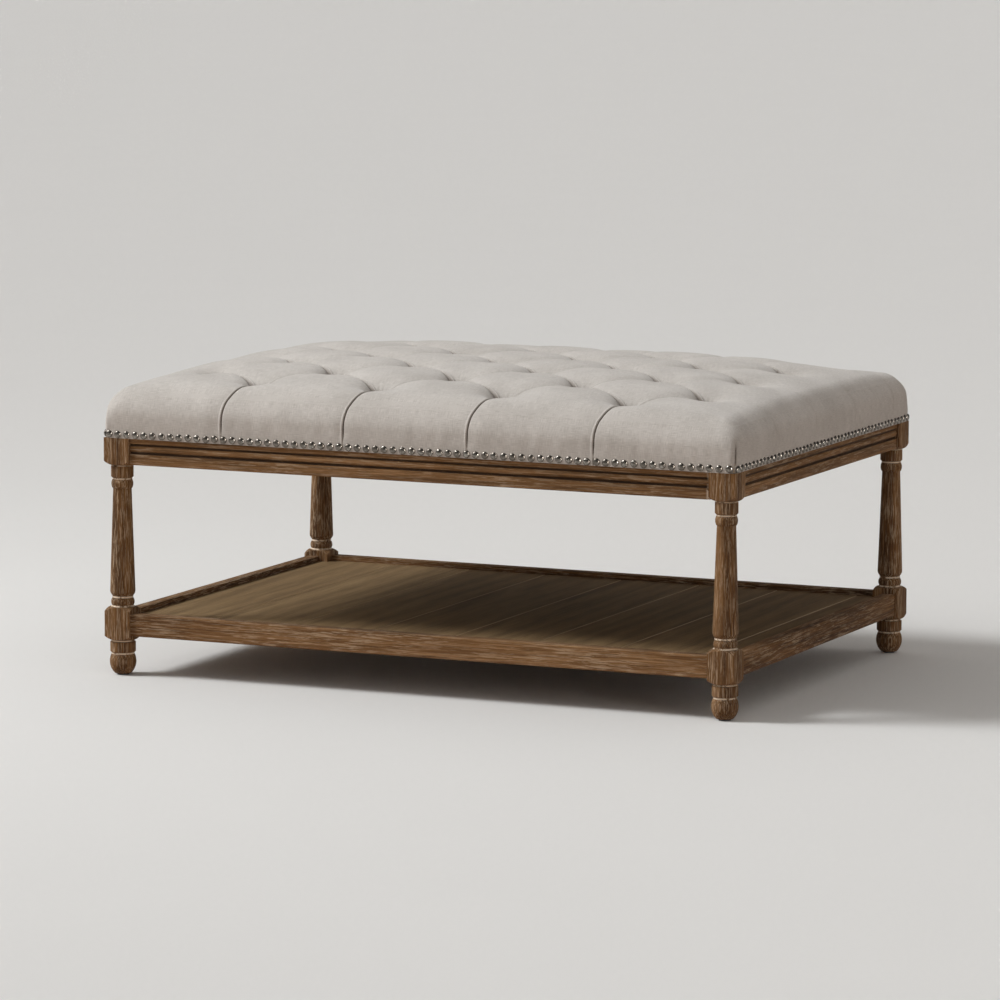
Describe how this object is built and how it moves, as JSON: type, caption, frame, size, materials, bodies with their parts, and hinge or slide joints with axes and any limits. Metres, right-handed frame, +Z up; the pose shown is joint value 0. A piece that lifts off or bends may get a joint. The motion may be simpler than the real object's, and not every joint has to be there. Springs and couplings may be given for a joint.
{
  "type": "ottoman coffee table",
  "caption": "Rectangular coffee table with a diamond-tufted, nail-trimmed linen cushion top on turned oak legs, with a moulded apron and a low slatted shelf.",
  "frame": {"origin": "on the floor, midway between the four legs", "axes": "+X to the right along the long side, +Y from front to back, +Z up"},
  "size_m": [1.008, 0.7304, 0.4644],
  "materials": {
    "limed_oak": "weathered brown oak with pale lime left in the grain, matt",
    "shelf_oak": "darker weathered oak veneer, matt",
    "frame_pine": "unfinished softwood",
    "plywood": "unfinished plywood",
    "linen": "grey-beige linen weave with small slubs",
    "foam": "open-cell upholstery foam",
    "dust_cloth": "black non-woven dust cloth",
    "nail_silver": "antiqued silver nail heads",
    "zinc_steel": "zinc-plated",
    "glide_nylon": "moulded nylon"
  },
  "bodies": {
    "root": {"leg_front_left": "limed_oak", "foot_glide_front_left": "glide_nylon", "corner_brace_front_left": "frame_pine", "leg_front_right": "limed_oak", "foot_glide_front_right": "glide_nylon", "corner_brace_front_right": "frame_pine", "leg_back_left": "limed_oak", "foot_glide_back_left": "glide_nylon", "corner_brace_back_left": "frame_pine", "leg_back_right": "limed_oak", "foot_glide_back_right": "glide_nylon", "corner_brace_back_right": "frame_pine", "apron_front": "limed_oak", "shelf_rail_front": "limed_oak", "shelf_cleat_front": "frame_pine", "trim_nails_front": "nail_silver", "apron_right": "limed_oak", "shelf_rail_right": "limed_oak", "shelf_cleat_right": "frame_pine", "trim_nails_right": "nail_silver", "apron_back": "limed_oak", "shelf_rail_back": "limed_oak", "shelf_cleat_back": "frame_pine", "trim_nails_back": "nail_silver", "apron_left": "limed_oak", "shelf_rail_left": "limed_oak", "shelf_cleat_left": "frame_pine", "trim_nails_left": "nail_silver", "shelf_board_1": "shelf_oak", "shelf_board_2": "shelf_oak", "shelf_board_3": "shelf_oak", "shelf_board_4": "shelf_oak", "shelf_board_5": "shelf_oak", "shelf_board_6": "shelf_oak", "shelf_board_7": "shelf_oak", "shelf_board_8": "shelf_oak", "shelf_bearer": "frame_pine", "corner_bolts": "zinc_steel", "corner_nuts": "zinc_steel", "deck_screws": "zinc_steel", "seat_deck": "plywood", "foam_pad": "foam", "dust_cover": "dust_cloth", "cushion_cover": "linen", "tuft_buttons": "linen"}
  },
  "joints": []
}
